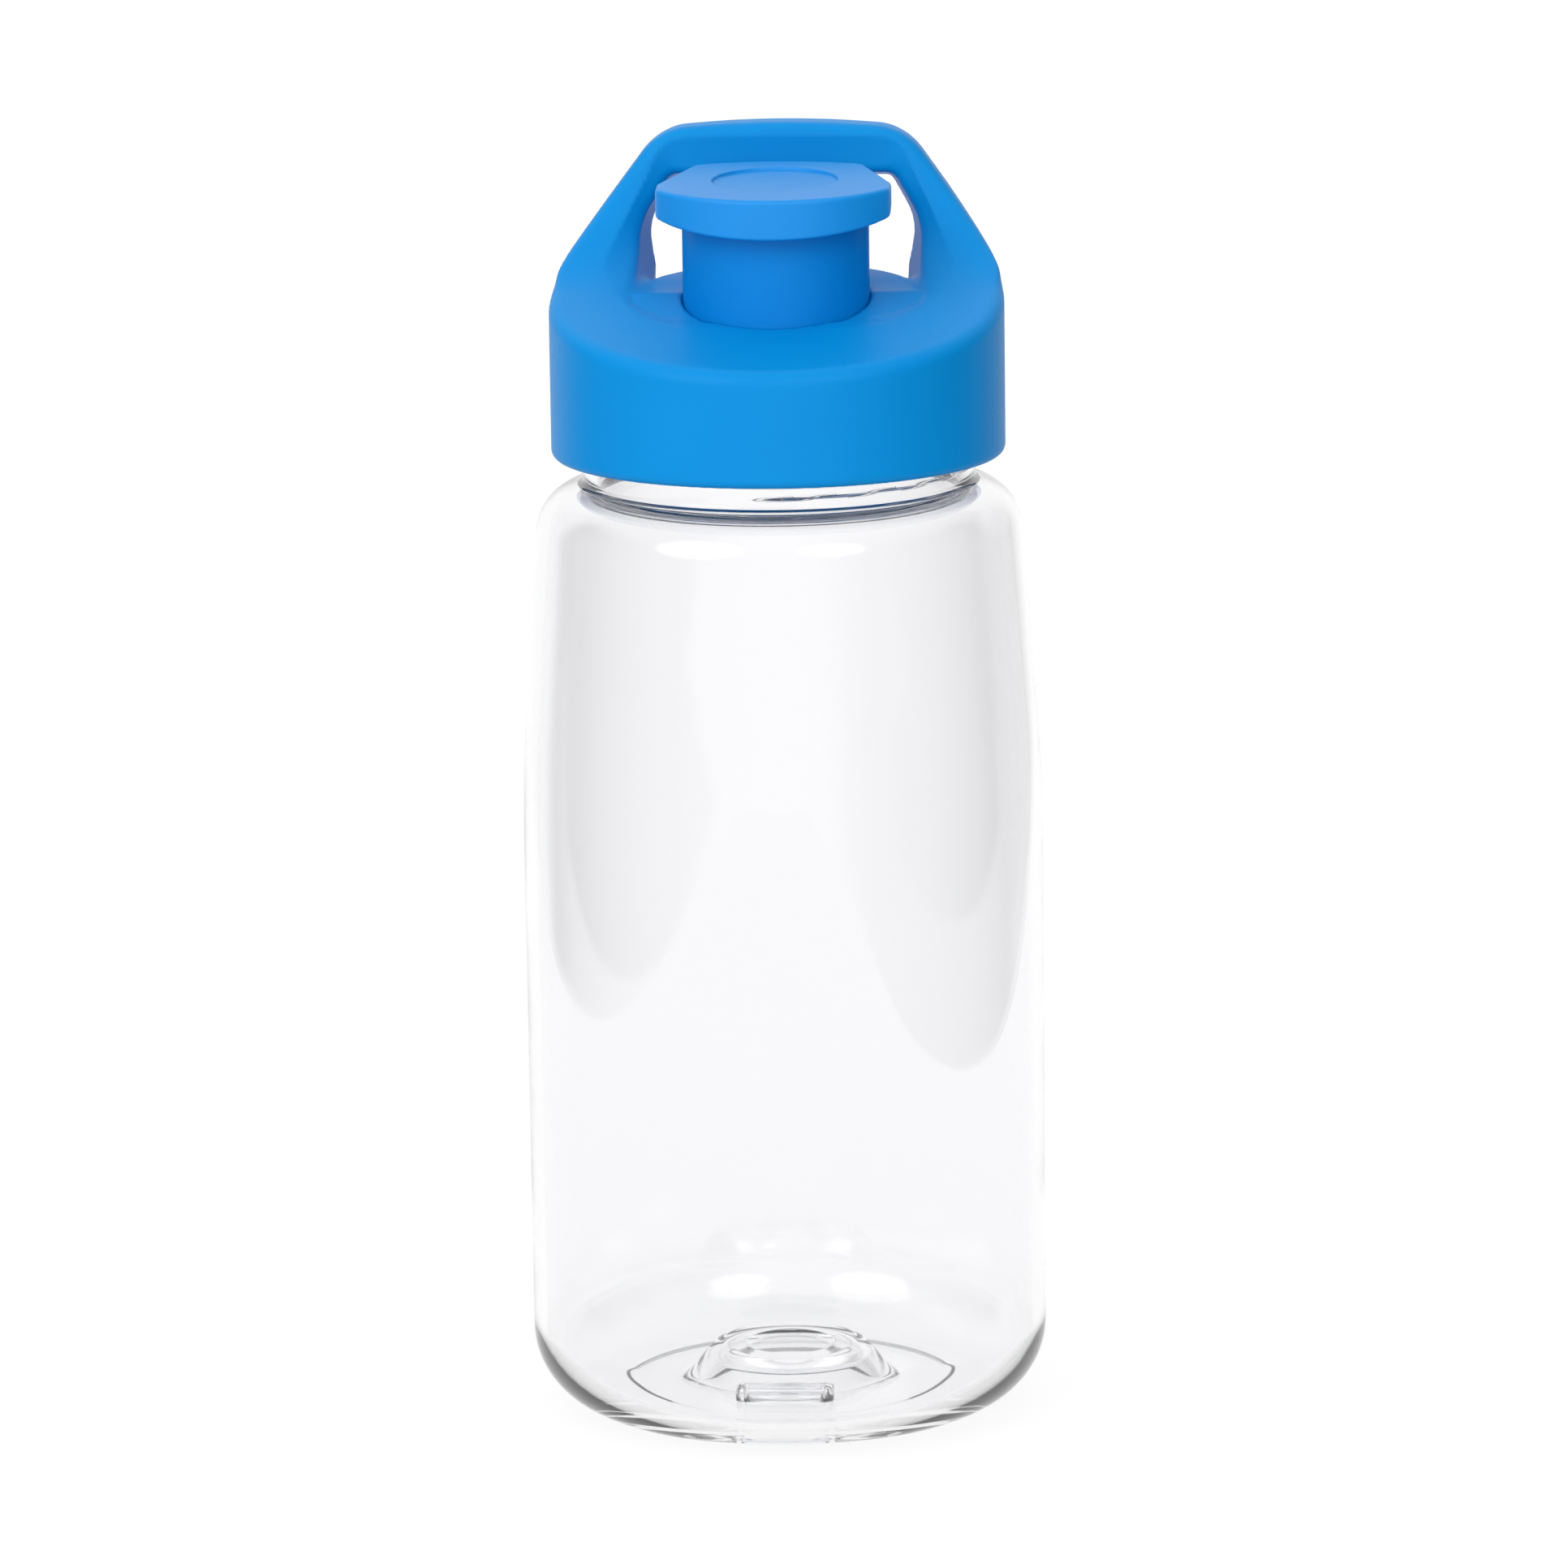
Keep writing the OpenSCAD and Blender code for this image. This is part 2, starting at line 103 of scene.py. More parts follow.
def add_node(tree, kind, inputs=None, **settings):
    """Adds a node. inputs gives a socket, by name or number, a value or the output that feeds it."""
    node = tree.nodes.new(kind)
    for key, value in settings.items():
        setattr(node, key, value)
    for key, value in (inputs or {}).items():
        if isinstance(value, bpy.types.NodeSocket):
            tree.links.new(value, node.inputs[key])
        else:
            node.inputs[key].default_value = value
    return node


def colour(text):
    """sRGB hex to the linear values that a shader takes."""
    parts = [int(text[i:i + 2], 16) / 255 for i in (1, 3, 5)]
    return [c / 12.92 if c <= 0.04045 else ((c + 0.055) / 1.055) ** 2.4 for c in parts] + [1]


# ---------------------------------------------------------------- camera, floor and light


def add_camera():
    """A long lens, a little to the right of the bottle's front and looking slightly down."""
    data = bpy.data.cameras.new("camera")
    data.sensor_width = 36
    data.lens = 189.0
    data.clip_end = 20
    camera = bpy.data.objects.new("camera", data)
    bpy.context.scene.collection.objects.link(camera)
    place = Vector((0.0591, -1.1641, 0.33067))
    forward = (Vector((0.00015, 0, 0.0913)) - place).normalized()
    right = forward.cross(Vector((0, 0, 1))).normalized()
    up = right.cross(forward)
    roll = 0.0135
    turned = Matrix((right - roll * up, up + roll * right, -forward)).transposed()
    camera.matrix_world = Matrix.Translation(place) @ turned.to_4x4()
    bpy.context.scene.camera = camera


def add_studio():
    """White backdrop and ceiling, two lamps, and a grey room at both sides that greys the wall's flanks."""
    scene = bpy.context.scene
    scene.view_settings.view_transform = "Standard"
    # Light caught inside the clear wall has to find its way out, or the wall's edges turn black.
    for name, count in (("max_bounces", 20), ("glossy_bounces", 14), ("transmission_bounces", 20)):
        setattr(scene.cycles, name, count)
    world = bpy.data.worlds.new("white studio")
    scene.world = world
    world.use_nodes = True
    tree = world.node_tree
    tree.nodes.clear()

    direction = add_node(tree, "ShaderNodeTexCoord").outputs["Generated"]
    x, y, z = add_node(tree, "ShaderNodeSeparateXYZ", {0: direction}).outputs
    side = add_node(tree, "ShaderNodeMath", {0: x}, operation="ABSOLUTE").outputs[0]
    turn = add_node(tree, "ShaderNodeMath", {0: side, 1: y}, operation="ARCTAN2").outputs[0]
    key, fill = [add_node(tree, "ShaderNodeVectorMath", {0: direction, 1: Vector(to_lamp).normalized()},
                          operation="DOT_PRODUCT").outputs["Value"]
                 for to_lamp in ((-0.55, -0.62, 0.56), (0.42, -0.70, 0.58))]
    part = {}
    for name, source, start, end, low, high in (     # turn is 0 straight behind the bottle, pi at the camera
            ("room opens", turn, 0.85, 1.10, 0, 1), ("room closes", turn, 1.0, 2.4, 1, 0),
            ("room's top", z, 0.45, 0.7, 1, 0), ("darkness", x, -0.3, 0.3, 0.86, 0.95),
            ("front", turn, 2.2, 3.0, 1.0, 1.3), ("ceiling", z, 0.2, 0.8, 1.0, 1.05),
            ("right side", x, 0.25, 0.9, 1.0, 0.45), ("key lamp", key, 0.93, 0.97, 0.0, 2.5),
            ("fill lamp", fill, 0.96, 0.985, 0.0, 2.5)):
        part[name] = add_node(tree, "ShaderNodeMapRange", {
            "Value": source, "From Min": start, "From Max": end, "To Min": low, "To Max": high},
            interpolation_type="SMOOTHSTEP").outputs[0]
    level = 1.0
    for name in ("room opens", "room closes", "room's top", "darkness"):
        level = add_node(tree, "ShaderNodeMath", {0: level, 1: part[name]}, operation="MULTIPLY").outputs[0]
    level = add_node(tree, "ShaderNodeMath", {0: 1.0, 1: level}, operation="SUBTRACT").outputs[0]
    for name, operation in (("front", "MULTIPLY"), ("ceiling", "MULTIPLY"), ("right side", "MULTIPLY"),
                            ("key lamp", "ADD"), ("fill lamp", "ADD")):
        level = add_node(tree, "ShaderNodeMath", {0: level, 1: part[name]}, operation=operation).outputs[0]
    back = add_node(tree, "ShaderNodeBackground", {"Color": colour("#ffffff"), "Strength": level})
    add_node(tree, "ShaderNodeOutputWorld", {"Surface": back.outputs[0]})

    # Opal acrylic lit from below: an even white that leaves hardly any shadow under the clear base.
    sheet = bpy.data.materials.new("lit opal acrylic table")
    sheet.use_nodes = True
    shader = sheet.node_tree.nodes["Principled BSDF"]
    for name, value in (("Base Color", colour("#5a5a5a")), ("Roughness", 0.9), ("Specular IOR Level", 0.1),
                        ("Emission Color", colour("#ffffff")), ("Emission Strength", 0.9)):
        shader.inputs[name].default_value = value
    mesh = bpy.data.meshes.new("table")
    down = -0.0002
    near, far = -0.8, 3.2
    corners = [(-0.24, near, down), (0.19, near, down), (0.45, far, down), (-0.45, far, down)]
    mesh.from_pydata(corners, [], [(0, 1, 2, 3)])
    mesh.materials.append(sheet)
    table = bpy.data.objects.new("table", mesh)
    scene.collection.objects.link(table)


# ---------------------------------------------------------------- materials


GRAIN_MM = 0.3            # coarser than the real grain of about 0.05 mm, which would not show
NOISE = {"From Min": 0.3, "From Max": 0.7}     # the span that a noise texture mostly fills


def plastic(name, base, roughness, grain_depth_mm, gloss=0.1):
    """Polypropylene, injection moulded and dyed through.

    The mould's spark-eroded grain breaks up the gloss, so that highlights are broad and soft with a fine
    sparkle, and the colour drifts by a shade over a centimetre or two."""
    material = bpy.data.materials.new(name)
    material.use_nodes = True
    tree = material.node_tree
    shader = tree.nodes["Principled BSDF"]
    shader.inputs["IOR"].default_value = 1.49
    shader.inputs["Specular IOR Level"].default_value = gloss
    cloud_mm, spread = 14, 0.04
    place = add_node(tree, "ShaderNodeTexCoord").outputs["Object"]
    grain = add_node(tree, "ShaderNodeTexNoise", {
        "Vector": place, "Scale": 1 / (GRAIN_MM * MM), "Detail": 2.0})
    cloud = add_node(tree, "ShaderNodeTexNoise", {
        "Vector": place, "Scale": 1 / (cloud_mm * MM), "Detail": 3.0})
    tone = add_node(tree, "ShaderNodeMix", {
        "Factor": cloud.outputs[0], 6: colour(base[0]), 7: colour(base[1])}, data_type="RGBA")
    rough = add_node(tree, "ShaderNodeMapRange", {
        "Value": grain.outputs[0], **NOISE, "To Min": roughness - spread, "To Max": roughness + spread})
    bump = add_node(tree, "ShaderNodeBump", {"Height": grain.outputs[0], "Distance": grain_depth_mm * MM,
                    "Strength": 1.0})
    tree.links.new(tone.outputs[2], shader.inputs["Base Color"])
    tree.links.new(rough.outputs[0], shader.inputs["Roughness"])
    tree.links.new(bump.outputs[0], shader.inputs["Normal"])
    return material


def clear_plastic():
    """Copolyester, blow moulded: as clear as glass and glossy.

    The wall's thickness drifts a little, so reflections and edges seen through it waver slowly."""
    material = bpy.data.materials.new("blow moulded clear copolyester")
    material.use_nodes = True
    tree = material.node_tree
    shader = tree.nodes["Principled BSDF"]
    shader.inputs["Base Color"].default_value = colour("#fafafb")
    shader.inputs["IOR"].default_value = 1.54
    shader.inputs["Transmission Weight"].default_value = 1
    place = add_node(tree, "ShaderNodeTexCoord").outputs["Object"]
    wave_mm, wave_depth_mm = 18, 0.03
    wave = add_node(tree, "ShaderNodeTexNoise", {"Vector": place, "Scale": 1 / (wave_mm * MM), "Detail": 1.0})
    rough = add_node(tree, "ShaderNodeMapRange", {
        "Value": wave.outputs[0], **NOISE, "To Min": 0.02, "To Max": 0.04})
    bump = add_node(tree, "ShaderNodeBump", {
        "Height": wave.outputs[0], "Distance": wave_depth_mm * MM, "Strength": 1.0})
    tree.links.new(rough.outputs[0], shader.inputs["Roughness"])
    tree.links.new(bump.outputs[0], shader.inputs["Normal"])
    return material


def silicone():
    """Silicone rubber, compression moulded: milky, as light soaks in, with a dusty dull gloss."""
    material = bpy.data.materials.new("moulded translucent silicone")
    material.use_nodes = True
    tree = material.node_tree
    shader = tree.nodes["Principled BSDF"]
    shader.inputs["Base Color"].default_value = colour("#dfe3e6")
    shader.inputs["IOR"].default_value = 1.41
    soak_mm, dust_mm = 4, 0.6
    shader.inputs["Subsurface Weight"].default_value = 0.4
    shader.inputs["Subsurface Radius"].default_value = (soak_mm * MM,) * 3
    shader.inputs["Subsurface Scale"].default_value = 1
    place = add_node(tree, "ShaderNodeTexCoord").outputs["Object"]
    dust = add_node(tree, "ShaderNodeTexNoise", {"Vector": place, "Scale": 1 / (dust_mm * MM), "Detail": 2.0})
    rough = add_node(tree, "ShaderNodeMapRange", {"Value": dust.outputs[0], "To Min": 0.45, "To Max": 0.6})
    tree.links.new(rough.outputs[0], shader.inputs["Roughness"])
    return material


def ground_steel():
    """Stainless steel, centreless ground: fine rings round the pin stretch its highlight lengthways."""
    material = bpy.data.materials.new("ground stainless steel")
    material.use_nodes = True
    tree = material.node_tree
    shader = tree.nodes["Principled BSDF"]
    shader.inputs["Base Color"].default_value = colour("#c3c4c6")
    shader.inputs["Metallic"].default_value = 1
    place = add_node(tree, "ShaderNodeTexCoord").outputs["Object"]
    ring_mm, along = 0.15, 20
    squash = add_node(tree, "ShaderNodeMapping", {
        "Vector": place, "Scale": (1 / (ring_mm * MM), along, along)})
    rings = add_node(tree, "ShaderNodeTexNoise", {"Vector": squash.outputs[0], "Scale": 1.0, "Detail": 2.0})
    rough = add_node(tree, "ShaderNodeMapRange", {"Value": rings.outputs[0], "To Min": 0.2, "To Max": 0.4})
    tree.links.new(rough.outputs[0], shader.inputs["Roughness"])
    return material


# ---------------------------------------------------------------- shapes given by a distance field


def cut_round(a, b, r, turn=0.0):
    """What two solids share, with the edge between them rounded to radius r.

    turn is the cosine of the angle between their faces' normals, 0 where they meet squarely."""
    u, v = a + r, b + r
    arc = np.sqrt(np.maximum(u * u + v * v - 2 * u * v * turn, 0) / (1 - turn * turn)) - r
    return np.where((u > turn * v) & (v > turn * u), arc, np.maximum(a, b))


def join_round(a, b, r):
    """Two solids together, with a fillet of radius r between them."""
    return np.maximum(r, np.minimum(a, b)) - np.hypot(np.maximum(r - a, 0), np.maximum(r - b, 0))


def smooth(t):
    """Goes from 0 to 1 with a soft start and end."""
    t = np.clip(t, 0, 1)
    return t * t * (3 - 2 * t)


def slopes(field, points, reach=0.03):
    """Gradient of the field at the points."""
    out = np.empty_like(points)
    for axis in range(3):
        shift = np.zeros(3)
        shift[axis] = reach
        out[:, axis] = (field(*(points + shift).T) - field(*(points - shift).T)) / (2 * reach)
    return out


def mesh_field(name, field, low, high, step):
    """Meshes the surface where field(x, y, h) is zero, and settles every vertex on it."""
    low = np.array(low) - 1.5 * step
    counts = np.ceil((np.array(high) + 1.5 * step - low) / step).astype(int) + 1
    axes = [low[k] + step * np.arange(counts[k]) for k in range(3)]
    value = field(*np.meshgrid(*axes, indexing="ij"))
    number = np.arange(value.size).reshape(value.shape)
    jump = (value.shape[1] * value.shape[2], value.shape[2], 1)
    points, quads = [], []
    for axis in range(3):
        lower, upper = [slice(None)] * 3, [slice(None)] * 3
        lower[axis], upper[axis] = slice(0, -1), slice(1, None)
        a, b = value[tuple(lower)], value[tuple(upper)]
        crossed = (a < 0) != (b < 0)
        start, a, b = number[tuple(lower)][crossed], a[crossed], b[crossed]
        point = np.stack(np.unravel_index(start, value.shape), axis=1).astype(float)
        point[:, axis] += a / (a - b)
        u, v = jump[(axis + 1) % 3], jump[(axis + 2) % 3]
        quad = np.stack([start - u - v, start - v, start, start - u], axis=1)
        quad[a >= 0] = quad[a >= 0][:, ::-1]
        points.append(point)
        quads.append(quad)
    points, quads = np.concatenate(points), np.concatenate(quads)
    cells, quads = np.unique(quads, return_inverse=True)
    quads = quads.reshape(-1, 4)
    share = np.bincount(quads.ravel())
    vertices = low + step * np.stack(
        [np.bincount(quads.ravel(), np.repeat(points[:, k], 4)) / share for k in range(3)], axis=1)
    for _ in range(4):
        slope = slopes(field, vertices)
        move = field(*vertices.T) / np.maximum((slope ** 2).sum(axis=1), 1e-3)
        vertices -= slope * np.clip(move, -0.4 * step, 0.4 * step)[:, None]
    normals = slopes(field, vertices, 0.6 * step)     # wide enough to blend over an edge
    normals /= np.maximum(np.linalg.norm(normals, axis=1, keepdims=True), 1e-9)
    return mesh_object(name, vertices + (0, 0, LID_Z), quads, normals)


def mesh_object(name, vertices, faces, normals):
    """An object in the scene from points in millimetres, faces, and a normal for each point."""
    mesh = bpy.data.meshes.new(name)
    mesh.from_pydata((np.asarray(vertices) * MM).tolist(), [], np.asarray(faces).tolist())
    mesh.shade_smooth()
    mesh.normals_split_custom_set_from_vertices(normals.tolist())
    thing = bpy.data.objects.new(name, mesh)
    bpy.context.scene.collection.objects.link(thing)
    return thing


def front_slope(y):
    """Height of the deck from the front rim to the foot of the sweep: one hollow curve."""
    t = np.clip(y / LID_R + 1, 0, 1)
    low, foot = FRONT_SLOPE * LID_R, math.tan(SWEEP_LEAN) * LID_R
    curve = ((2 * t ** 3 - 3 * t ** 2 + 1) * FRONT_H + (t ** 3 - 2 * t ** 2 + t) * low
             + (3 * t ** 2 - 2 * t ** 3) * MID_H + (t ** 3 - t ** 2) * foot)
    return curve + math.tan(SWEEP_LEAN) * np.maximum(y, 0) + FRONT_SLOPE * np.minimum(y + LID_R, 0)


def window_field(ax, h):
    """Front view of the finger window. ax is the distance from the middle."""
    leaning = (ax - WINDOW_EDGE - WINDOW_SLOPE * (WINDOW_EDGE_H - h)) * WINDOW_COS
    sides = cut_round(ax - WINDOW_HALF, leaning, 10, WINDOW_COS)
    return cut_round(cut_round(sides, WINDOW_LOW - h, 6), h - WINDOW_TOP, 2.6, 0.539)


def crease_field(ax, h):
    """Front view of the soft recess round the window. Its foot curls up towards the lid's sides."""
    sides = (ax - CREASE_EDGE - CREASE_SLOPE * (CREASE_EDGE_H - h)) * CREASE_COS
    curl = 0.028 * np.maximum(ax - 13, 0) ** 2
    foot = (CREASE_FOOT + curl - h) * 0.9
    return cut_round(cut_round(sides, foot, 3), h - CREASE_TOP, 3, CREASE_SLOPE * CREASE_COS)


def lid_shell_field(x, y, h):
    """Skirt, deck and carry arch, hollow inside, with the holes for the tower and the hinge column."""
    ax, rho = np.abs(x), np.hypot(x, y)
    side = rho - LID_R
    window = window_field(ax, h)
    inside = np.maximum(-crease_field(ax, h), 0)
    dip = inside / (inside + np.maximum(window, 0) + 1e-6)      # 0 at the recess's edge, 1 at the window
    front, back = (h - front_slope(y)) * DECK_COS, (h - BACK_H + BACK_FALL * y) * BACK_COS
    deck = cut_round(front, back, 3, 0.895) + 0.4 * dip
    skirt = cut_round(cut_round(side, deck, 2.0), -h, 1.2)
    sunk, rise = 2.5, np.maximum(y, 0)
    climb = (sunk + ROUND_H - MID_H) * np.exp(-0.2 * rise)
    round_top = np.where(y < 0, front_slope(y) - sunk, ROUND_H - climb)
    disc = cut_round(rho - ROUND_R, (h - round_top) * 0.97, 0.8)
    disc = np.maximum(disc, BURIED_H - h)

    sweep = SWEEP_R - np.hypot(y - SWEEP_Y, h - SWEEP_H)
    sweep = sweep + dip * (0.4 + 1.0 * smooth((h - MID_H) / 5))
    lean = (ax - LID_R) * math.cos(ARCH_LEAN) + (h - ARCH_SIDE_H) * math.sin(ARCH_LEAN)
    front_view = cut_round(lean, h - ARCH_H + ARCH_CROWN * x ** 2, 7.5, math.sin(ARCH_LEAN))
    front_view = cut_round(front_view, side, 3.0, math.cos(ARCH_LEAN))
    steep = np.clip((SWEEP_H - h) / SWEEP_R, 0, 1) * math.sin(ARCH_LEAN) * smooth((h - MID_H) / 3)
    arch = cut_round(sweep, front_view, 2.0, steep)
    arch_back = 0.899 * (y - ARCH_BACK_Y) - 0.4375 * (h - ARCH_BACK_H)
    arch = np.maximum(cut_round(arch, arch_back, 2.5, -0.35), -y)
    mouth = SWEEP_Y + np.sqrt(np.maximum(SWEEP_R ** 2 - (h - SWEEP_H) ** 2, 0))
    draft = 0.18 * np.clip(y - mouth, 0, 14)                    # the window narrows towards the back
    arch = np.maximum(cut_round(arch, -window - draft, 0.8), BURIED_H - h)
    whole = np.minimum(join_round(skirt, disc, 1.8), join_round(arch, disc, 1.8))

    hollow = np.maximum(rho - LID_BORE, np.maximum(deck + DECK_T, -1 - h))
    hollow_disc = np.maximum(rho - ROUND_R + DECK_T, h - round_top + DECK_T)
    whole = np.maximum(whole, -np.minimum(hollow, hollow_disc))
    seam, slot_gap = 0.03, 0.2
    whole = cut_round(whole, TOWER_R + seam - rho, 0.7)
    slot = np.maximum(np.maximum(ax - EAR_OUT - slot_gap, y - PIN_Y - KNUCKLE_R - slot_gap), -y)
    return cut_round(whole, -slot, 0.3)


def thread_field(x, y, h, turns, start, first_h, wall, crest):
    """A helical ridge from radius wall to radius crest, fading out at both ends."""
    rho = np.hypot(x, y)
    around = np.mod((np.arctan2(y, x) - start) / (2 * math.pi), 1)
    lap = np.clip(np.round((h - first_h) / THREAD_LEAD - around), 0, math.floor(turns))
    turn = around + lap
    fade = smooth(np.minimum(turn, turns - turn) / THREAD_FADE)
    reach = (rho - wall) / (crest - wall)
    width = THREAD_FOOT + (THREAD_TIP - THREAD_FOOT) * np.clip(reach, 0, 1)
    flank = (np.abs(h - first_h - THREAD_LEAD * turn) - width / 2) * 0.85
    tip = (reach - fade) * abs(crest - wall)
    ends = np.maximum(-turn, turn - turns) * 2 * math.pi * wall
    return np.maximum(cut_round(flank, tip, 0.25), ends)


def lid_insert_field(x, y, h):
    """Threaded skirt, plate, drinking tower, and the column with the ears that hold the hinge pin."""
    ax, rho = np.abs(x), np.hypot(x, y)
    ring = cut_round(np.maximum(rho - SKIRT_R, SKIRT_BORE - rho), SKIRT_H - h, 0.4)
    ring = np.maximum(ring, h - PLATE_H)
    plate = np.maximum(np.maximum(rho - SKIRT_R + 0.7, TOWER_BORE - rho),
                       np.abs(h - PLATE_H + PLATE_T / 2) - PLATE_T / 2)
    tower = cut_round(rho - TOWER_R, h - TOWER_H, 1.0)
    tower = np.maximum(tower, PLATE_H - PLATE_T - h)
    bore = cut_round(rho - TOWER_BORE, h - TOWER_H + PLATE_T, 1.0)
    tower = cut_round(np.maximum(tower, -bore), MOUTH_R - rho, 0.6)
    column = np.maximum(cut_round(ax - EAR_OUT, y - PIN_Y - KNUCKLE_R, 0.8), h - PIN_H + KNUCKLE_R + 0.6)
    column = np.maximum(np.maximum(column, PLATE_H - 0.5 - h), np.maximum(TOWER_R - 1 - rho, -y))
    ear = np.minimum(np.hypot(y - PIN_Y, h - PIN_H) - KNUCKLE_R,
                     np.maximum(np.abs(y - PIN_Y) - KNUCKLE_R, np.abs(h - PIN_H + 2) - 2))
    ear = cut_round(ear, np.abs(ax - (EAR_IN + EAR_OUT) / 2) - (EAR_OUT - EAR_IN) / 2, 0.3)
    whole = np.minimum(join_round(ring, plate, 0.6), join_round(tower, plate, 0.8))
    whole = np.minimum(whole, np.minimum(column, ear))
    ridge = thread_field(x, y, h, LID_TURNS, THREAD_START + math.radians(25), THREAD_H + THREAD_LEAD / 2,
                         SKIRT_BORE, LID_CREST)
    ridge = np.maximum(ridge, rho - SKIRT_BORE - 0.5)
    whole = np.minimum(whole, np.maximum(ridge, NECK_R - rho))
    return np.maximum(whole, PIN_R - np.hypot(y - PIN_Y, h - PIN_H))


def flip_cap_field(x, y, h):
    """Cap with its bowed front lip, finger recess, stub for the seal, and hinge knuckle."""
    ax, rho = np.abs(x), np.hypot(x, y)
    front_r = CAP_FRONT * 1.17
    front = np.hypot(x, y + CAP_FRONT - front_r) - front_r
    flank = (ax - CAP_FRONT) * 0.9545 + (y + 2.9) * 0.2983
    back = np.hypot(x, y + 18.3) - CAP_BACK - 18.3
    plan = cut_round(cut_round(front, ax - CAP_FRONT, 3, 0.855), flank, 3, 0.9545)
    plan = cut_round(plan, back, 2.5, 0.638)
    top = (h - CAP_TOP - (y + CAP_FRONT) * math.tan(CAP_SLOPE)) * math.cos(CAP_SLOPE)
    cap = cut_round(plan, top, 0.6)
    lip = CAP_TOP - LIP_H + (y + CAP_FRONT) * math.tan(LIP_SLOPE)
    cap = cut_round(cap, (np.minimum(lip, CAP_UNDER) - h) * 0.98, 0.5)
    cap = np.maximum(cap, -np.maximum(rho - TOWER_R - 0.6, h - CAP_UNDER))
    cap = np.maximum(cap, -np.maximum(rho - FLANGE_R - 0.05, h - FLANGE_TOP))
    dish = np.maximum(rho - RECESS_R, -top - RECESS_DEPTH)
    cap = cut_round(cap, -dish, 0.25)
    stub = cut_round(rho - STUB_R, TOWER_H - 2.6 - h, 0.4)
    cap = np.minimum(cap, np.maximum(stub, h - FLANGE_TOP - 0.2))
    knuckle = np.hypot(y - PIN_Y, h - PIN_H) - KNUCKLE_R
    web = np.maximum(np.maximum(y - PIN_Y, CAP_BACK - 2 - y),
                     np.maximum(h - PIN_H - KNUCKLE_R, CAP_UNDER - h))
    hinge = cut_round(np.minimum(knuckle, web), ax - KNUCKLE_HALF, 0.3)
    pin_play = 0.05
    return np.maximum(np.minimum(cap, hinge), PIN_R + pin_play - np.hypot(y - PIN_Y, h - PIN_H))


# ---------------------------------------------------------------- turned pieces


def outline(corners, steps=10):
    """A line through the corners, given as radius, height and how far each is rounded."""
    points = []
    for i, (r, z, rounding) in enumerate(corners):
        here = np.array((r, z), float)
        if not rounding:
            points.append(here)
            continue
        to_last = np.array(corners[i - 1][:2]) - here
        to_next = np.array(corners[(i + 1) % len(corners)][:2]) - here
        to_last, to_next = to_last / np.linalg.norm(to_last), to_next / np.linalg.norm(to_next)
        half = math.acos(float(np.clip(to_last @ to_next, -1, 1))) / 2
        middle = (to_last + to_next) / np.linalg.norm(to_last + to_next) * rounding / math.sin(half)
        a, b = [rounding / math.tan(half) * d - middle for d in (to_last, to_next)]
        sweep = math.pi - 2 * half
        for k in range(steps + 1):
            t = k / steps
            arm = (math.sin((1 - t) * sweep) * a + math.sin(t * sweep) * b) / math.sin(sweep)
            points.append(here + middle + arm)
    return points


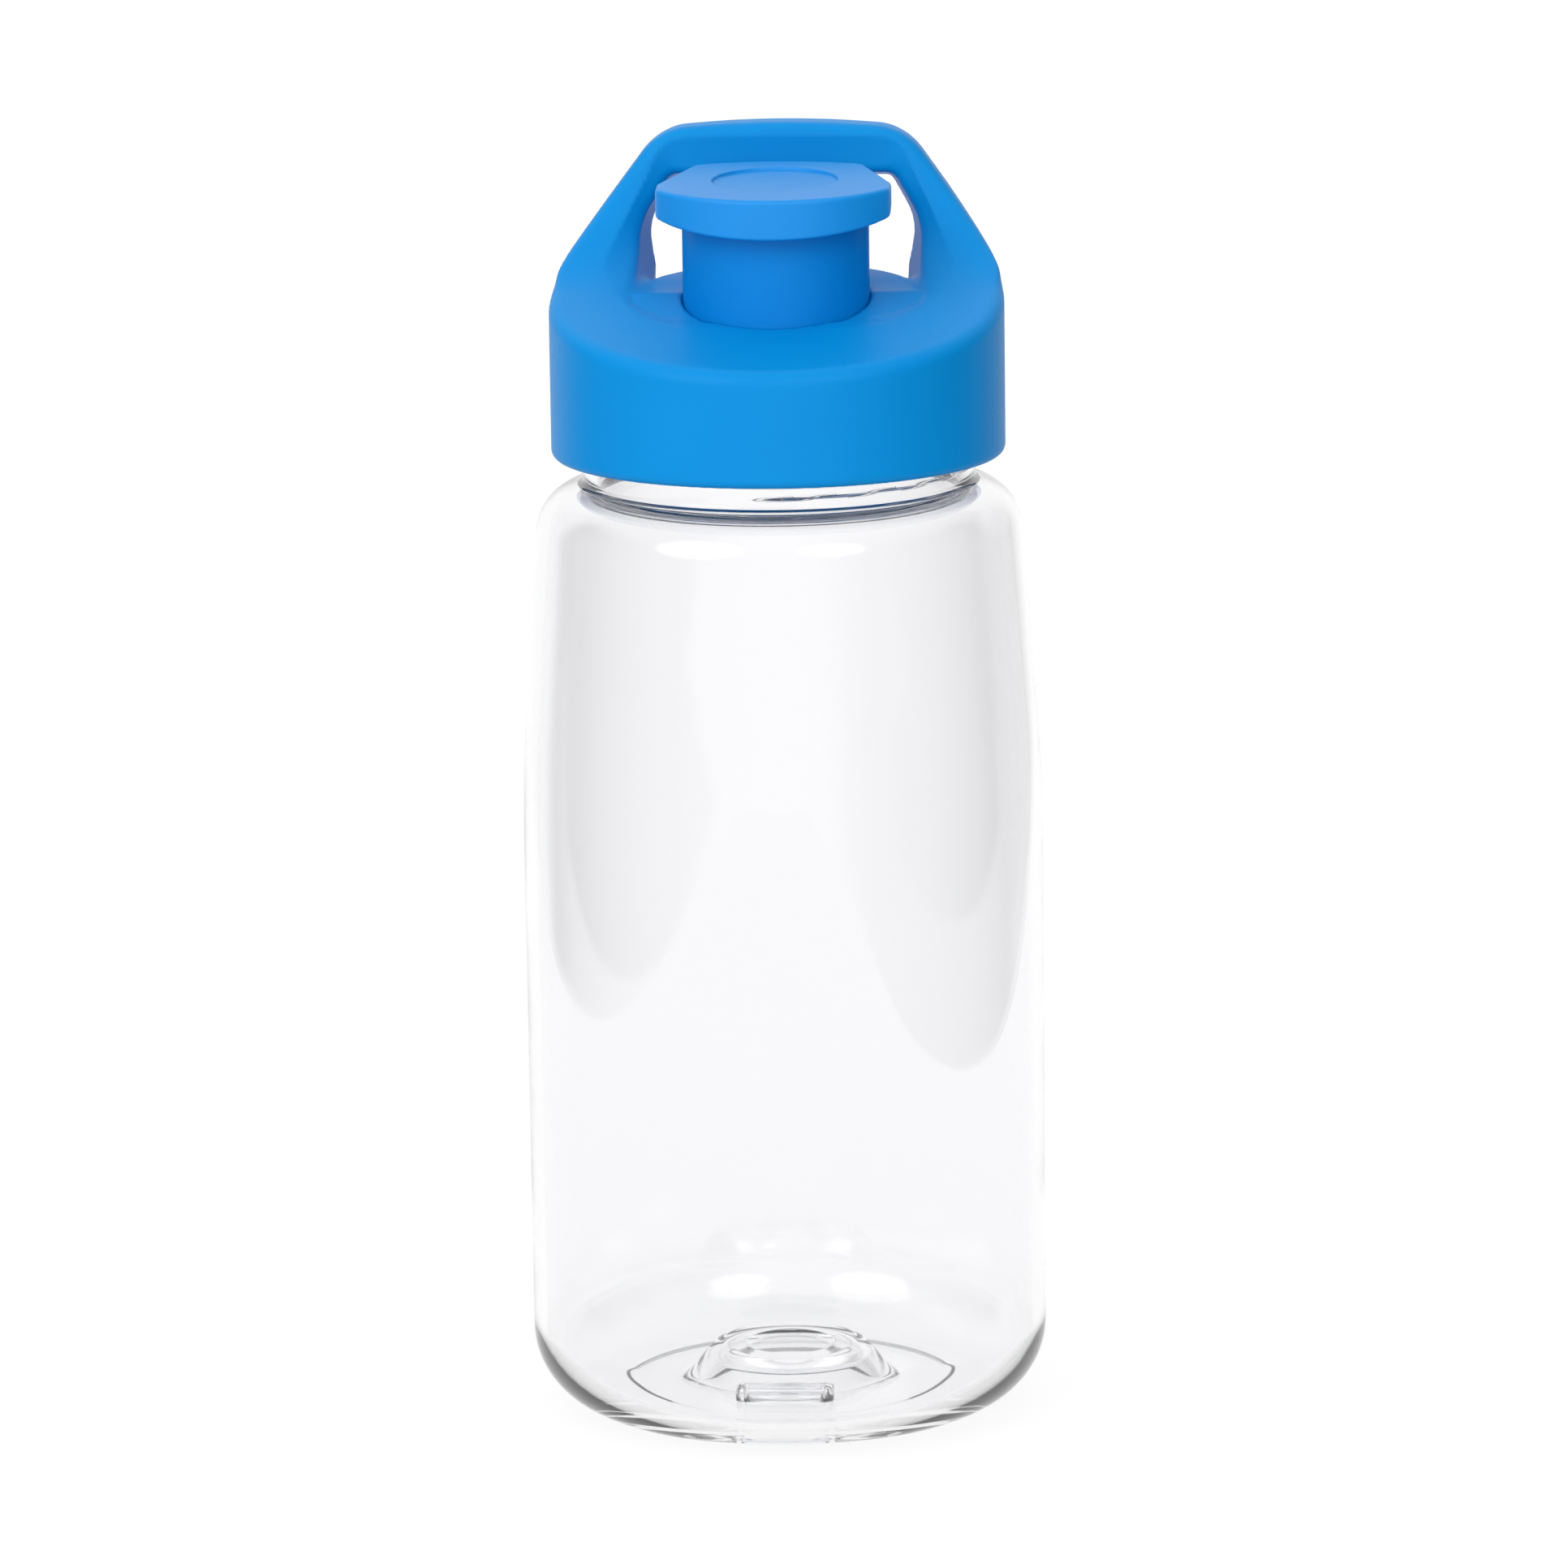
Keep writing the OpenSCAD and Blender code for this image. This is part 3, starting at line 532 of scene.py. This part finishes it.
def lathe_tree(threaded):
    """Turns the piece's own line, drawn as radius and height, round the axis, and raises a thread on it."""
    tree = bpy.data.node_groups.new("turned piece", "GeometryNodeTree")
    sockets = {}
    tree.interface.new_socket("Line", in_out="INPUT", socket_type="NodeSocketGeometry")
    tree.interface.new_socket("Piece", in_out="OUTPUT", socket_type="NodeSocketGeometry")
    for name, kind in (("Segments", "Int"), ("Ring radius", "Float"), ("Thread depth", "Float"),
                       ("Thread lead", "Float"), ("Thread turns", "Float"), ("Thread start", "Float"),
                       ("Thread height", "Float"), ("Ridge foot", "Float"), ("Ridge tip", "Float"),
                       ("Neck radius", "Float"), ("Finish", "Material")):
        item = tree.interface.new_socket(name, in_out="INPUT", socket_type="NodeSocket" + kind)
        sockets[name] = item.identifier
    given = add_node(tree, "NodeGroupInput").outputs
    ring = add_node(tree, "GeometryNodeCurvePrimitiveCircle",
                    {"Resolution": given["Segments"], "Radius": given["Ring radius"]}, mode="RADIUS")
    line = add_node(tree, "GeometryNodeMeshToCurve", {"Mesh": given["Line"]})
    turned = add_node(tree, "GeometryNodeCurveToMesh", {
        "Curve": ring.outputs["Curve"], "Profile Curve": line.outputs[0]})
    shape = add_node(tree, "GeometryNodeMergeByDistance", {
        "Geometry": turned.outputs[0], "Distance": 2e-6}).outputs[0]
    if threaded:
        place = add_node(tree, "GeometryNodeInputPosition").outputs[0]
        value = dict(zip("xyz", add_node(tree, "ShaderNodeSeparateXYZ", {0: place}).outputs))
        value.update({socket.name: socket for socket in given if socket.name})
        for name, operation, *terms in (
                ("xx", "MULTIPLY", "x", "x"), ("rr", "MULTIPLY_ADD", "y", "y", "xx"), ("rho", "SQRT", "rr"),
                ("angle", "ARCTAN2", "y", "x"), ("from start", "SUBTRACT", "angle", "Thread start"),
                ("part turn", "DIVIDE", "from start", 2 * math.pi), ("raised turn", "ADD", "part turn", 2.0),
                ("around", "FRACT", "raised turn"), ("height", "SUBTRACT", "z", "Thread height"),
                ("laps", "DIVIDE", "height", "Thread lead"), ("lap here", "SUBTRACT", "laps", "around"),
                ("near lap", "ROUND", "lap here"), ("from lap 0", "MAXIMUM", "near lap", 0.0),
                ("lap", "MINIMUM", "from lap 0", 1.0), ("off laps", "SUBTRACT", "lap here", "lap"),
                ("off by", "MULTIPLY", "off laps", "Thread lead"), ("off", "ABSOLUTE", "off by"),
                ("turn", "ADD", "around", "lap"), ("turns left", "SUBTRACT", "Thread turns", "turn"),
                ("from end", "MINIMUM", "turn", "turns left"), ("foot", "MULTIPLY", "Ridge foot", 0.5),
                ("tip", "MULTIPLY", "Ridge tip", 0.5), ("out x", "DIVIDE", "x", "rho"),
                ("out y", "DIVIDE", "y", "rho"), ("on neck", "COMPARE", "rho", "Neck radius", 2e-5)):
            feeds = {i: value.get(term, term) for i, term in enumerate(terms)}
            value[name] = add_node(tree, "ShaderNodeMath", feeds, operation=operation).outputs[0]
        fade = add_node(tree, "ShaderNodeMapRange", {"Value": value["from end"], "From Max": THREAD_FADE},
                        interpolation_type="SMOOTHSTEP")
        ridge = add_node(tree, "ShaderNodeMapRange", {"Value": value["off"], "From Min": value["foot"],
                         "From Max": value["tip"]}, interpolation_type="SMOOTHSTEP")
        faded = add_node(tree, "ShaderNodeMath", {0: fade.outputs[0], 1: ridge.outputs[0]},
                         operation="MULTIPLY")
        raised = add_node(tree, "ShaderNodeMath", {0: faded.outputs[0], 1: given["Thread depth"]},
                          operation="MULTIPLY")
        outwards = add_node(tree, "ShaderNodeCombineXYZ", {0: value["out x"], 1: value["out y"]})
        offset = add_node(tree, "ShaderNodeVectorMath", {0: outwards.outputs[0], "Scale": raised.outputs[0]},
                          operation="SCALE")
        shape = add_node(tree, "GeometryNodeSetPosition", {
            "Geometry": shape, "Selection": value["on neck"], "Offset": offset.outputs[0]}).outputs[0]
    real = add_node(tree, "GeometryNodeRealizeInstances", {0: shape})
    finish = add_node(tree, "GeometryNodeSetMaterial", {
        "Geometry": real.outputs[0], "Material": given["Finish"]})
    add_node(tree, "NodeGroupOutput", {0: finish.outputs[0]})
    return tree, sockets


def turned_piece(name, line, material, closed=True, segments=160, threaded=False):
    """Lathes the line and keeps the result as a plain mesh."""
    ring_radius = 10.0
    points = [((r - ring_radius) * MM, -z * MM, 0) for r, z in line]     # the lathe turns Y upside down
    edges = [(i, i + 1) for i in range(len(points) - 1)] + ([(len(points) - 1, 0)] if closed else [])
    mesh = bpy.data.meshes.new(name + " line")
    mesh.from_pydata(points, edges, [])
    maker = bpy.data.objects.new(name + " line", mesh)
    bpy.context.scene.collection.objects.link(maker)
    tree, sockets = lathe_tree(threaded)
    lathe = maker.modifiers.new("lathe", "NODES")
    lathe.node_group = tree
    for key, value in {
            "Segments": segments, "Ring radius": ring_radius * MM, "Thread depth": THREAD_DEPTH * MM,
            "Thread lead": THREAD_LEAD * MM, "Thread turns": NECK_TURNS, "Thread start": THREAD_START,
            "Thread height": (LID_Z + THREAD_H) * MM, "Ridge foot": THREAD_FOOT * MM,
            "Ridge tip": THREAD_TIP * MM, "Neck radius": NECK_R * MM, "Finish": material}.items():
        lathe[sockets[key]] = value
    bpy.context.view_layer.update()
    made = bpy.data.meshes.new_from_object(maker.evaluated_get(bpy.context.evaluated_depsgraph_get()))
    bpy.data.objects.remove(maker)
    made.name = name
    made.shade_smooth()
    thing = bpy.data.objects.new(name, made)
    bpy.context.scene.collection.objects.link(thing)
    return thing


def face_outwards(mesh):
    """Closed surface with its faces turned the right way."""
    shape = bmesh.new()
    shape.from_mesh(mesh)
    bmesh.ops.remove_doubles(shape, verts=shape.verts, dist=1e-6)
    bmesh.ops.recalc_face_normals(shape, faces=shape.faces)
    shape.to_mesh(mesh)
    shape.free()


def rounded_block(name, low, high, radius):
    """A box with rounded edges, its corners given in millimetres."""
    shape = bmesh.new()
    bmesh.ops.create_cube(shape, size=1)
    for vert in shape.verts:
        vert.co = [(lo if c < 0 else hi) * MM for c, lo, hi in zip(vert.co, low, high)]
    bmesh.ops.bevel(shape, geom=shape.edges[:], offset=radius * MM, segments=5, profile=0.5, affect="EDGES")
    mesh = bpy.data.meshes.new(name)
    shape.to_mesh(mesh)
    shape.free()
    thing = bpy.data.objects.new(name, mesh)
    bpy.context.scene.collection.objects.link(thing)
    return thing


def with_blocks(thing, blocks):
    """Adds and cuts blocks, and keeps the result as the piece's mesh."""
    for operation, block in blocks:
        block.data.materials.append(thing.data.materials[0])
        change = thing.modifiers.new(block.name, "BOOLEAN")
        change.operation, change.object, change.solver = operation, block, "MANIFOLD"
    bpy.context.view_layer.update()
    made = bpy.data.meshes.new_from_object(thing.evaluated_get(bpy.context.evaluated_depsgraph_get()))
    thing.modifiers.clear()
    made.name, thing.data = thing.data.name, made
    made.shade_smooth()
    made.set_sharp_from_angle(angle=math.radians(40))
    for _, block in blocks:
        bpy.data.objects.remove(block)


def bottle_line():
    """Outline of the body from the middle of the base, up the outside, over the rim and down the inside."""
    shoulder = BODY_R - (SHOULDER_Z - WIDEST_Z) * BODY_LEAN
    threads = [(NECK_R, z, 0) for z in np.arange(SHOULDER_Z + 1.0, RIM_Z - 1.0, 0.22)]
    underside = [(0.001, 6.2, 0), (9.6, 6.2, 2.6), (13.6, 0.8, 2.0), (24.0, 0.8, 0.5), (24.5, 0, 0.3)]
    outside = [(FOOT_R, 0, 11.6), (BODY_R, WIDEST_Z, 290), (shoulder, SHOULDER_Z, 7.5),
               (NECK_R, SHOULDER_Z, 0.9)]
    rim = [(NECK_R, RIM_Z, 0.7), (NECK_BORE, RIM_Z, 0.6)]
    inside = [(NECK_BORE, SHOULDER_Z - BODY_WALL, 2.0),
              (shoulder - BODY_WALL - 0.1, SHOULDER_Z - BODY_WALL, 5.7),
              (BODY_R - BODY_WALL, WIDEST_Z, 288), (FOOT_R - BODY_WALL, 2.4, 9.6)]
    punt = [(15.2, 3.0, 2.5), (11.2, 8.2, 2.6), (6.6, 8.2, 0.5), (5.8, 7.5, 0.5), (0.001, 7.5, 0)]
    return outline(underside + outside + threads + rim + inside + punt, 14)


add_camera()
add_studio()

shell_finish = plastic("injection moulded blue polypropylene", ("#0082ca", "#0087cf"), 0.42, 0.006)
insert_finish = plastic("injection moulded blue polypropylene, insert", ("#007bca", "#0080ce"), 0.38, 0.004)
cap_finish = plastic("injection moulded blue polypropylene, cap", ("#0083d2", "#0088d7"), 0.40, 0.006, 0.3)
clear_finish = clear_plastic()
rubber_finish = silicone()
steel_finish = ground_steel()

body = turned_piece("bottle", bottle_line(), clear_finish, closed=False, segments=240, threaded=True)
face_outwards(body.data)
notch_wall = 1.2
notch_low, notch_high = (-NOTCH_HALF, -NOTCH_OUT), (NOTCH_HALF, -NOTCH_IN)
cover_low, cover_high = [c - notch_wall for c in notch_low], [c + notch_wall for c in notch_high]
with_blocks(body, [
    ("UNION", rounded_block("notch cover", (*cover_low, 1.4), (*cover_high, NOTCH_TOP + notch_wall), 1.2)),
    ("DIFFERENCE", rounded_block("notch", (*notch_low, -2), (*notch_high, NOTCH_TOP), 0.8))])
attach(body, "bottle")
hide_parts("bottle_body")

gasket_in, gasket_out, gasket_z, gasket_t = 25.5, 28.9, RIM_Z + 0.1, 1.4
gasket_corners = [(gasket_in, gasket_z), (gasket_out, gasket_z),
                  (gasket_out, gasket_z + gasket_t), (gasket_in, gasket_z + gasket_t)]
gasket = turned_piece("gasket", outline([(r, z, 0.4) for r, z in gasket_corners], 5), rubber_finish)
face_outwards(gasket.data)
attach(gasket, "lift")
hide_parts("neck_gasket")

shell = mesh_field("screw_lid", lid_shell_field, (-33, -33, 0), (33, 33, 45), 0.55)
shell.data.materials.append(shell_finish)
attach(shell, "lid")
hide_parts("lid_shell")

insert = mesh_field("drinking_tower", lid_insert_field, (-31, -31, -0.5), (31, 31, 39.6), 0.5)
insert.data.materials.append(insert_finish)
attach(insert, "lid")
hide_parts("lid_insert")

cap = mesh_field("flip_top", flip_cap_field, (-16.7, -16.7, 32.7), (16.7, 18.2, 40.6), 0.3)
cap.data.materials.append(cap_finish)
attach(cap, "cap")
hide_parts("flip_cap")

seal_low, seal_rim, seal_top = LID_Z + TOWER_H - 2.6, LID_Z + TOWER_H + 0.1, LID_Z + FLANGE_TOP
seal_bore = STUB_R + 0.05
seal_corners = [(seal_bore, seal_low, 0.2), (6.6, seal_low, 0.4), (7.2, seal_rim, 0.2),
                (FLANGE_R, seal_rim, 0.3), (FLANGE_R, seal_top, 0.2), (seal_bore, seal_top, 0.2)]
seal = turned_piece("mouth_seal", outline(seal_corners, 5), rubber_finish, segments=96)
face_outwards(seal.data)
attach(seal, "cap")
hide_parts("cap_seal")

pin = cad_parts["hinge_pin"]
pin.data.materials.clear()
pin.data.materials.append(steel_finish)
